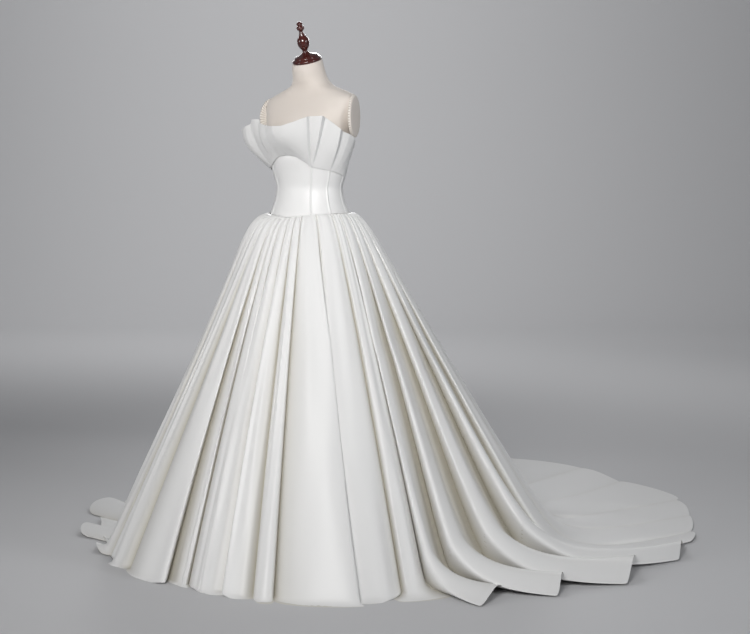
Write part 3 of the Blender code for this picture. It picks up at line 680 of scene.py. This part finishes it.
def fan_surface():
    """Outer face of the fan: straight creases from foot to free top, bowed out between.

    Crease values run in straight lines from crease to crease, rounded over a few columns.
    """
    count = len(FAN_CREASES) - 1
    places = np.linspace(0, count, count * FAN_STEPS + 1)
    spread = np.arange(-FAN_REACH, FAN_REACH + 1)
    kernel = np.exp(-((spread / FAN_ROUNDING) ** 2))
    kernel /= kernel.sum()
    values = []
    for index in range(len(FAN_CREASES[0])):
        rows = np.interp(places, np.arange(count + 1), column(FAN_CREASES, index))
        before = 2 * rows[0] - rows[FAN_REACH:0:-1]
        after = 2 * rows[-1] - rows[-2 : -2 - FAN_REACH : -1]
        padded = np.concatenate([before, rows, after])
        values.append(np.convolve(padded, kernel, mode="valid"))
    top_away, foot_away, radius, height, foot_height, bow = values
    rise = np.linspace(1.0, 0.0, FAN_ROWS + 1)[:, None]
    clear = FORM_GAP + 2 * CLOTH + FAN_CLEARANCE
    foot = torso_point(FRONT + foot_away, foot_height, clear)
    turn = np.radians(FRONT + top_away)
    top = np.stack([radius * np.cos(turn), radius * np.sin(turn), height], axis=-1)
    outward = np.stack([np.cos(turn), np.sin(turn), 0 * turn], axis=-1)
    return foot + (top - foot) * rise[..., None] + outward * (bow * np.sin(np.pi * rise))[..., None]


fan = fan_surface()
fan_normals = grid_normals(fan)
fan_middle, fan_last = len(FAN_CREASES) // 2 * FAN_STEPS, FAN_FRONT_LAST * FAN_STEPS
fan_parts = (
    # name, first, last, width, length, area
    ("bust_fold_right", 0, fan_middle - fan_last, 0.215, 0.165, 0.027),
    ("bust_fold_front", fan_middle - fan_last, fan_middle + fan_last, 0.250, 0.165, 0.032),
    ("bust_fold_left", fan_middle + fan_last, 2 * fan_middle, 0.215, 0.165, 0.028),
)
for name, first, last, width, length, area in fan_parts:
    take = slice(first, last + 1)
    pleats = cloth_wall(name + "_satin", part_at_seams(fan[:, take]), fan_normals[:, take])
    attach(pleats, "root")
    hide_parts(name)


# Skirt: seven flared gores of heavy satin, gathered into the waist seam, that fall as deep
# flutes, some turned over their valleys, and run out on the floor as tubes at the sides and a
# round train behind.
CONE_TOP_HEIGHT, SHOULDER_WIDTH, WAIST_FOLD_DEPTH, LYING_HEIGHT = 1.14, 0.035, 0.004, 0.010
VALLEY_SHARPNESS, VALLEY_PINCH, TIP_BLUNTNESS, VALLEY_ROUNDING = 0.75, 0.6, 0.5, 0.008
FLUTE_TURNS = (
    # how far each flute's crest turns over to the wearer's left, from -1 to 1, and how flat
    # its top is, from 0 to 1, in the order of the FLUTES rows
    (0.4, 0.2),
    (-0.5, 0.0),
    (0.6, 0.2),
    (-0.4, 0.0),
    (0.5, 0.1),
    (-0.4, 0.0),
    (-0.3, 0.2),
    (-0.5, 0.0),
    (0.4, 0.2),
    (-0.5, 0.5),
    (0.8, 0.6),
    (0.5, 0.1),
    (0.6, 0.0),
    (-0.4, 0.3),
    (-0.5, 0.3),
    (0.2, 0.0),
    (0.8, 0.9),
    (-0.2, 0.6),
    (-0.3, 0.1),
    (-1.0, 0.2),
    (-1.2, 0.1),
    (-1.2, 0.1),
    (-1.0, 0.2),
    (-0.7, 0.3),
    (0.3, 0.3),
    (-0.5, 0.3),
    (0.4, 0.3),
    (-0.4, 0.4),
    (0.3, 0.4),
    (-0.6, 0.2),
    (0.5, 0.1),
    (0.4, 0.2),
    (-0.5, 0.1),
)
TURNED_SECTION = (
    # across, place, height on the cone, height on the floor, share of the tip's reach
    (0.00, 0.00, 0.00, 0.00, 0.00),
    (0.06, -0.06, 0.10, 0.01, 0.25),
    (0.12, -0.15, 0.36, 0.03, 0.55),
    (0.18, -0.24, 0.72, 0.05, 0.86),
    (0.24, -0.26, 0.94, 0.08, 1.00),
    (0.30, -0.19, 1.00, 0.20, 0.95),
    (0.40, -0.02, 0.90, 0.58, 0.80),
    (0.55, 0.24, 0.58, 1.00, 0.57),
    (0.70, 0.50, 0.27, 0.66, 0.34),
    (0.85, 0.77, 0.07, 0.20, 0.14),
    (1.00, 1.00, 0.00, 0.00, 0.00),
)
FLATNESS, FLAT_FROM, TURN_FADE, VALLEY_SHIFT, TURN_SWAY = 0.55, 0.25, 0.25, 0.24, 0.35
CREST_SOFTNESS, CREST_BREADTH, TRAIN_ARCH, WRINKLE_HEIGHT = 0.12, 0.7, 0.22, 0.004
GATHER_DEPTH, GATHER_LENGTH, GATHER_START, GATHERS_A_FLUTE = 0.0035, 0.16, 0.01, 3
# The last two are how much of the painted fold shade is taken off the cloth on the floor and on the train.
GATHER_STRAY, HANG_DEPTH, FLOOR_FOLD_SHADE_LOSS, TRAIN_FOLD_SHADE_LOSS = 0.6, 0.0045, 0.3, 0.8
# where a change starts and how far on it is whole, as shares of the length or reaches in metres
TURN_LENGTHS, CALM_LENGTHS = (0.08, 0.3), (0.3, 0.25)
TIP_REACHES, CALM_REACHES, FLAT_REACHES = (0.0, 0.1), (1.1, 0.15), (1.15, 0.15)
# The second pair here says where on the train the painted fold shade starts to be taken off.
WRINKLE_REACHES, TRAIN_SHADE_REACHES = (0.9, 0.3), (1.05, 0.15)
# waves across, waves down, seed and count of each uneven relief
TURN_WAVES, GATHER_WAVES = ((3, 30), (-1.0, 1.0), 3), ((20, 60), (-0.5, 0.5), 9)
HANG_WAVES, WRINKLE_WAVES = ((40, 120), (-1.5, 1.5), 11), ((8, 44), (-7, 7), 21, 12)
SWEEP_DOWN, SWEEP_OUT, TIP_SKEW, LEANING_SHARPNESS = 0.6, 1.2, 0.9, 0.75
FOLD_GROWTH, HEM_SETTLING, LEAST_LYING, STEEPEST = 1.1, 6, 0.001, 40.0
SWING, SWING_GROWTH, PUFF, PUFF_LENGTH, PUFF_SIDE = (0.0386, -0.0270), 1.5, 0.020, 0.08, -150.0
SKIRT_PLAN = (
    # away, cone, softness
    (0.0, 0.592, 0.004),
    (25.0, 0.624, 0.004),
    (50.0, 0.650, 0.008),
    (75.0, 0.632, 0.040),
    (92.0, 0.640, 0.085),
    (105.0, 0.670, 0.100),
    (122.0, 0.718, 0.100),
    (140.0, 0.768, 0.095),
    (160.0, 0.812, 0.090),
    (180.0, 0.832, 0.088),
)
FLUTES = (
    # waist, knee, hem, reach, depth, height, tip, lean
    (-212.0, -212.0, -212.0, 1.240, 0.024, 0.012, 0.006, 0.0),
    (-201.0, -202.0, -203.0, 1.130, 0.024, 0.014, 0.015, 0.0),
    (-190.0, -190.0, -193.0, 1.030, 0.024, 0.018, 0.030, 0.0),
    (-180.0, -179.0, -185.0, 0.950, 0.026, 0.020, 0.135, 0.6),
    (-169.0, -168.0, -172.0, 0.860, 0.022, 0.018, 0.040, 0.0),
    (-158.0, -157.0, -163.0, 0.750, 0.024, 0.023, 0.120, 0.7),
    (-147.0, -146.0, -151.0, 0.690, 0.024, 0.018, 0.020, 0.0),
    (-138.0, -138.0, -144.0, 0.665, 0.024, 0.020, 0.048, 0.6),
    (-130.0, -130.0, -132.0, 0.650, 0.022, 0.010, 0.006, 0.0),
    (-122.0, -123.0, -124.0, 0.640, 0.026, 0.000, 0.002, 0.0),
    (-112.0, -114.0, -115.4, 0.628, 0.045, 0.000, 0.002, 0.0),
    (-104.0, -93.5, -96.9, 0.597, 0.022, 0.000, 0.000, 0.0),
    (-97.0, -88.0, -86.5, 0.598, 0.034, 0.000, 0.000, 0.0),
    (-89.0, -82.0, -79.6, 0.607, 0.036, 0.000, 0.000, 0.0),
    (-79.0, -74.5, -72.4, 0.616, 0.038, 0.000, 0.000, 0.0),
    (-70.0, -66.5, -65.6, 0.638, 0.038, 0.000, 0.000, 0.0),
    (-61.0, -60.0, -59.4, 0.658, 0.058, 0.000, 0.000, 0.0),
    (-42.0, -39.5, -38.9, 0.668, 0.036, 0.000, 0.000, 0.0),
    (-22.0, -28.0, -31.6, 0.668, 0.040, 0.000, 0.006, 0.0),
    (-12.0, -21.0, -18.6, 0.705, 0.050, 0.036, 0.155, -0.7),
    (0.0, -14.0, -3.6, 0.766, 0.060, 0.048, 0.165, -1.0),
    (10.0, -3.0, 9.6, 0.853, 0.065, 0.050, 0.185, -1.0),
    (20.0, 8.0, 27.8, 1.006, 0.060, 0.044, 0.138, -0.8),
    (30.0, 20.0, 39.0, 1.178, 0.040, 0.016, 0.030, -0.3),
    (41.0, 34.0, 47.5, 1.270, 0.032, 0.012, 0.006, 0.0),
    (52.0, 49.0, 57.0, 1.372, 0.030, 0.010, 0.004, 0.0),
    (64.0, 62.0, 67.0, 1.492, 0.028, 0.012, 0.030, 0.0),
    (77.0, 76.0, 81.0, 1.568, 0.028, 0.010, 0.010, 0.0),
    (90.0, 90.0, 90.5, 1.705, 0.030, 0.010, 0.004, 0.0),
    (103.0, 103.0, 102.0, 1.745, 0.032, 0.010, 0.004, 0.0),
    (115.0, 116.0, 114.0, 1.690, 0.034, 0.012, 0.004, 0.0),
    (126.0, 128.0, 126.0, 1.550, 0.030, 0.010, 0.004, 0.0),
    (137.0, 138.0, 137.0, 1.400, 0.026, 0.012, 0.004, 0.0),
)
GORES = (
    # name, first, after, hem width, length, area
    ("skirt_side_back_right", 0, 5, 1.39, 1.70, 0.84),
    ("skirt_side_front_right", 5, 10, 0.89, 1.33, 0.50),
    ("skirt_front", 10, 16, 0.86, 1.24, 0.61),
    ("skirt_side_front_left", 16, 20, 0.95, 1.36, 0.68),
    ("skirt_side_back_left", 20, 24, 1.54, 1.79, 1.02),
    ("skirt_train_left", 24, 28, 1.21, 2.10, 1.25),
    ("skirt_train_right", 28, 33, 1.73, 2.14, 1.60),
)
FLUTE_COLUMNS, SKIRT_ROWS, VALLEY_CROWDING, WAIST_CROWDING = 30, 150, 0.25, 1.15
HEM_STITCH_UP, HEM_STITCH_WIDTH = 0.013, 0.0016


def plan_value(away, index):
    """A SKIRT_PLAN column, level where it crosses the centre front and the centre back."""
    angles, values = column(SKIRT_PLAN, 0), column(SKIRT_PLAN, index)
    angles = np.concatenate([[-angles[1]], angles, [360.0 - angles[-2]]])
    return smooth_table(away, angles, np.concatenate([[values[1]], values, [values[-2]]]))


def flute_table(index, place):
    """A FLUTES column at flute positions, joined round the whole skirt."""
    values = column(FLUTES, index)
    turn = 360.0 if index < 3 else 0.0
    around = np.concatenate([values[-2:] - turn, values, values[:2] + turn])
    return smooth_table(place, np.arange(-2.0, len(values) + 2.0), around)


def flute_value(index, flute):
    return column(FLUTES, index)[flute.astype(int) % len(FLUTES)]


def lobe(across, sharpness):
    """A rounded ridge over 0 to 1: a sine to a power, with its feet eased by a small radius."""
    sine = np.sin(np.pi * np.clip(across, 0.0, 1.0)) ** 2
    foot = VALLEY_ROUNDING ** (sharpness / 2)
    raised = (sine + VALLEY_ROUNDING) ** (sharpness / 2)
    return (raised - foot) / ((1 + VALLEY_ROUNDING) ** (sharpness / 2) - foot)


def ramp(value, start, rise):
    """From 0 at a start to 1 a rise further on, and level outside."""
    return np.clip((value - start) / rise, 0.0, 1.0)


def turned_section(across, turn, index):
    """A TURNED_SECTION column, read from the other side for crests that turn to the left."""
    left = turn > 0
    shares, values = column(TURNED_SECTION, 0), column(TURNED_SECTION, index)
    value = smooth_table(np.where(left, 1 - across, across), shares, values)
    return np.where(left, 1 - value, value) if index == 1 else value


def valley_shift(valley, length):
    """How far a valley lies under the crest turned over it, in flutes, to the right if plus."""
    turns, tips = column(FLUTE_TURNS, 0), column(FLUTES, 6)
    count = len(FLUTES)
    here, before = valley.astype(int) % count, (valley.astype(int) - 1) % count
    tip = ramp(np.maximum(tips[here], tips[before]), *TIP_REACHES)
    shift = np.clip(-turns[here], 0.0, 1.0) - np.clip(turns[before], 0.0, 1.0)
    return VALLEY_SHIFT * shift * ramp(length, *TURN_LENGTHS) * (1 - TURN_FADE * tip * length**3)


def ripple(place, length, across_waves, down_waves, seed, count=7):
    """Uneven soft relief: a sum of slanting waves that close round the skirt, from -1 to 1."""
    chance = np.random.default_rng(seed)
    total = np.zeros_like(place)
    for _ in range(count):
        turns = chance.integers(across_waves[0], across_waves[1] + 1)
        falls = chance.uniform(*down_waves)
        phase = chance.uniform(0, 2 * np.pi)
        total += np.sin(2 * np.pi * (turns * place / len(FLUTES) + falls * length) + phase)
    return total / count**0.5 / 1.5


def skirt_cloth(place, length):
    """Outer face of the skirt at flute positions and lengths down it, and its painted fold shade.

    The radius runs from the waist to the cone's foot and on to the hem, the height is a
    straight cone turned softly onto the floor, and each flute stands off that surface as a
    rounded ridge, outwards on the cone and upwards on the floor. Fine gathers fade out below
    the waist, and low slanting waves keep any two flutes from being alike. A turned crest
    takes its section from TURNED_SECTION and hangs over the valley beside it, except on the
    train, which lies calm. The lower cloth swings bodily towards the wearer's left front.
    """
    flute = np.floor(place + 1e-9)
    across = np.clip(place - flute, 0.0, 1.0)
    turn_over, flat = np.array(FLUTE_TURNS)[flute.astype(int) % len(FLUTES)].transpose(2, 0, 1)
    sway = 1 + TURN_SWAY * ripple(flute, length, *TURN_WAVES)
    turn_over = turn_over * ramp(length, *TURN_LENGTHS) * sway
    calm = ramp(flute_value(3, flute), *CALM_REACHES) * ramp(length, *CALM_LENGTHS)
    share = np.clip(np.abs(turn_over), 0.0, 1.0) * (1 - calm)
    tube = ramp(flute_value(6, flute), *TIP_REACHES)
    lap = share * (1 - TURN_FADE * tube * length**3)
    pinched = flute + across - (1 - share) * VALLEY_PINCH * np.sin(2 * np.pi * across) / (2 * np.pi)
    pinched = pinched + lap * (turned_section(across, turn_over, 1) - across)
    lap_left, lap_right = valley_shift(flute, length), valley_shift(flute + 1, length)
    pinched = pinched + lap_left * (1 - across) + lap_right * across
    power = 1 - FLATNESS * flat * ramp(length, 0.0, FLAT_FROM)
    over = np.clip(turned_section(across, turn_over, 2), 0.0, 1.0)
    ridge = (1 - share) * lobe(across, VALLEY_SHARPNESS * power) + share * over**power
    lean = flute_value(7, flute)
    skew = TIP_SKEW * lean * across * (1 - across)
    near = lobe(across - skew, VALLEY_SHARPNESS) ** TIP_BLUNTNESS
    near = (1 - share) * near + share * turned_section(across, turn_over, 4)
    arch = lobe(across + skew, VALLEY_SHARPNESS + LEANING_SHARPNESS * np.abs(lean))
    arch = (1 - share) * arch + share * np.clip(turned_section(across, turn_over, 3), 0.0, 1.0)

    hem = flute_table(2, pinched)
    away = away_from_front(hem)
    cone, softness = plan_value(away, 1), plan_value(away, 2)
    reach = flute_table(3, pinched) + near * flute_value(6, flute)
    softness = softness + CREST_SOFTNESS * share * over**CREST_BREADTH * tube
    flute_depth, flute_height = flute_value(4, flute), flute_value(5, flute)

    waist, knee_angle = flute_table(0, pinched), flute_table(1, pinched)
    turn = np.radians(waist)
    start = 1 / np.sqrt((np.cos(turn) / WAIST_HALF_WIDTH) ** 2 + (np.sin(turn) / WAIST_HALF_DEPTH) ** 2)
    fall = CONE_TOP_HEIGHT / (cone - start)
    on_cone = (cone - start) * np.sqrt(1 + fall**2)
    knee = on_cone / (on_cone + np.maximum(reach - cone, LEAST_LYING))
    down = np.minimum(length / knee, 1.0)
    out = np.clip((length - knee) / (1 - knee), 0.0, 1.0)
    radius = start + (cone - start) * down + (reach - cone) * out
    angle = waist + (knee_angle - waist) * down**SWEEP_DOWN + (hem - knee_angle) * out**SWEEP_OUT

    line = fall * (cone - radius)
    soft = softness * np.logaddexp(0.0, line / softness)
    at_hem = softness * np.logaddexp(0.0, fall * (cone - reach) / softness)
    shoulder = CONE_TOP_HEIGHT - (waist_height(angle) - SEAM_GAP)
    fallen = np.exp(-(radius - start) / SHOULDER_WIDTH)
    height = soft - at_hem * length**HEM_SETTLING - shoulder * fallen

    lying = 1.0 / (1.0 + np.exp(np.clip(line / softness, -STEEPEST, STEEPEST)))
    on_floor = lying
    lying = lying * np.clip(flute_height / LYING_HEIGHT, 0.0, 1.0)
    grown = np.clip(length / knee, 0.0, 1.0) ** FOLD_GROWTH
    depth = WAIST_FOLD_DEPTH + (flute_depth - WAIST_FOLD_DEPTH) * grown
    relief = ridge * depth * (1 - lying)
    stray = GATHER_STRAY * ripple(place, length, *GATHER_WAVES)
    gather = GATHER_DEPTH * np.abs(np.sin(np.pi * GATHERS_A_FLUTE * place + stray))
    gather_fade = np.exp(-((length / GATHER_LENGTH) ** 1.5))
    relief += gather * gather_fade * np.minimum(length / GATHER_START, 1.0)
    hang = ridge * np.clip(length * 6, 0, 1) * (1 - on_floor)
    relief += HANG_DEPTH * ripple(place, length, *HANG_WAVES) * hang * np.clip(length * 2, 0, 1)
    fullness = length / PUFF_LENGTH * np.exp(1.0 - length / PUFF_LENGTH)
    puff = PUFF * fullness * np.clip(np.cos(np.radians(angle - PUFF_SIDE)), 0.0, 1.0) ** 2
    radius = radius + relief + puff
    train_arch = TRAIN_ARCH * np.sin(np.pi * across) ** 2
    arch = arch + (train_arch - arch) * ramp(reach, *FLAT_REACHES)
    height = height + (arch * flute_height + CLOTH) * lying
    train = on_floor * ramp(reach, *WRINKLE_REACHES) * (1 - length**8)
    height = height + train * WRINKLE_HEIGHT * (1 + ripple(place, length, *WRINKLE_WAVES))
    turn = np.radians(angle)
    points = np.stack([radius * np.cos(turn), radius * np.sin(turn), height], axis=-1)
    dropped = np.clip(1.0 - height / (waist_height(angle) - SEAM_GAP), 0.0, 1.0)
    points[..., :2] += np.array(SWING) * dropped[..., None] ** SWING_GROWTH
    # Painted shade in the valleys: strongest deep in each valley, weaker near the waist, and mostly taken
    # off on the floor and the train.
    on_train = on_floor * ramp(reach, *TRAIN_SHADE_REACHES)
    fold = (1 - ridge) ** 2 * np.clip(length * 4, 0.25, 1.0)
    fold = fold * (1 - FLOOR_FOLD_SHADE_LOSS * on_floor) * (1 - TRAIN_FOLD_SHADE_LOSS * on_train)
    return points, fold


step = np.arange(FLUTE_COLUMNS) / FLUTE_COLUMNS
step = step - VALLEY_CROWDING * np.sin(2 * np.pi * step) / (2 * np.pi)
place = (np.arange(len(FLUTES))[:, None] + step).ravel()
length = np.linspace(0.0, 1.0, SKIRT_ROWS + 1) ** WAIST_CROWDING
grid_place, grid_length = np.meshgrid(place, length)
skirt, skirt_fold_shade = skirt_cloth(grid_place, grid_length)
skirt_normals = grid_normals(skirt, closed=True)
standing = skirt[-1, :, 2] < CLOTH / 2
skirt_normals[-1, standing, 2] = 0.0
skirt_normals[-1] /= np.linalg.norm(skirt_normals[-1], axis=-1, keepdims=True)
hem_stitch = np.exp(-(((1 - grid_length) - HEM_STITCH_UP) / HEM_STITCH_WIDTH) ** 2)
for name, first, after, width, long, area in GORES:
    take = np.arange(first * FLUTE_COLUMNS, after * FLUTE_COLUMNS + 1) % len(place)
    gore = cloth_wall(
        name + "_satin",
        part_at_seams(skirt[:, take]),
        skirt_normals[:, take],
        fold=skirt_fold_shade[:, take],
        stitch=hem_stitch[:, take],
        floor=0.0,
    )
    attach(gore, "root")
    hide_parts(name)


# Centre back fastening: nine small buttons covered in the gown's satin, domed over a shank
# and sewn down the centre back seam.
BUTTON_COUNT, BUTTON_RADIUS, BUTTON_LOWEST, BUTTON_SPACING = 9, 0.0055, 1.092, 0.0185
BUTTON_SEAT, BUTTON_COLUMNS = 0.0008, 28
BUTTON_DOME = (
    # height, share of the radius
    (0.0000, 0.86),
    (0.0006, 0.98),
    (0.0014, 1.00),
    (0.0024, 0.95),
    (0.0034, 0.82),
    (0.0041, 0.62),
    (0.0045, 0.36),
    (0.0047, 0.12),
)
turn = np.arange(BUTTON_COLUMNS) * 2 * np.pi / BUTTON_COLUMNS
dome_height, dome_radius = column(BUTTON_DOME, 0)[:, None], column(BUTTON_DOME, 1)[:, None] * BUTTON_RADIUS
for i in range(BUTTON_COUNT):
    level = BUTTON_LOWEST + i * BUTTON_SPACING
    levels = np.array([level - BUTTON_RADIUS, level, level + BUTTON_RADIUS])
    seat = np.max(torso_point(BACK + 0 * levels, levels, FORM_GAP + CLOTH)[:, 1]) + BUTTON_SEAT
    dome = np.stack(
        [
            dome_radius * np.cos(turn),
            seat + dome_height + 0 * turn,
            level - dome_radius * np.sin(turn),
        ],
        axis=-1,
    )
    points, faces = capped(dome, BUTTON_COLUMNS)
    uv = points[:, (0, 2)]
    blank = np.zeros(len(points))
    button_name = f"covered_button_{i + 1}"
    button = mesh_piece(button_name, points, faces, satin, uv=uv, fold=blank, stitch=blank)
    welded(button)
    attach(button, "root")
    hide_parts(f"back_button_{i + 1}")
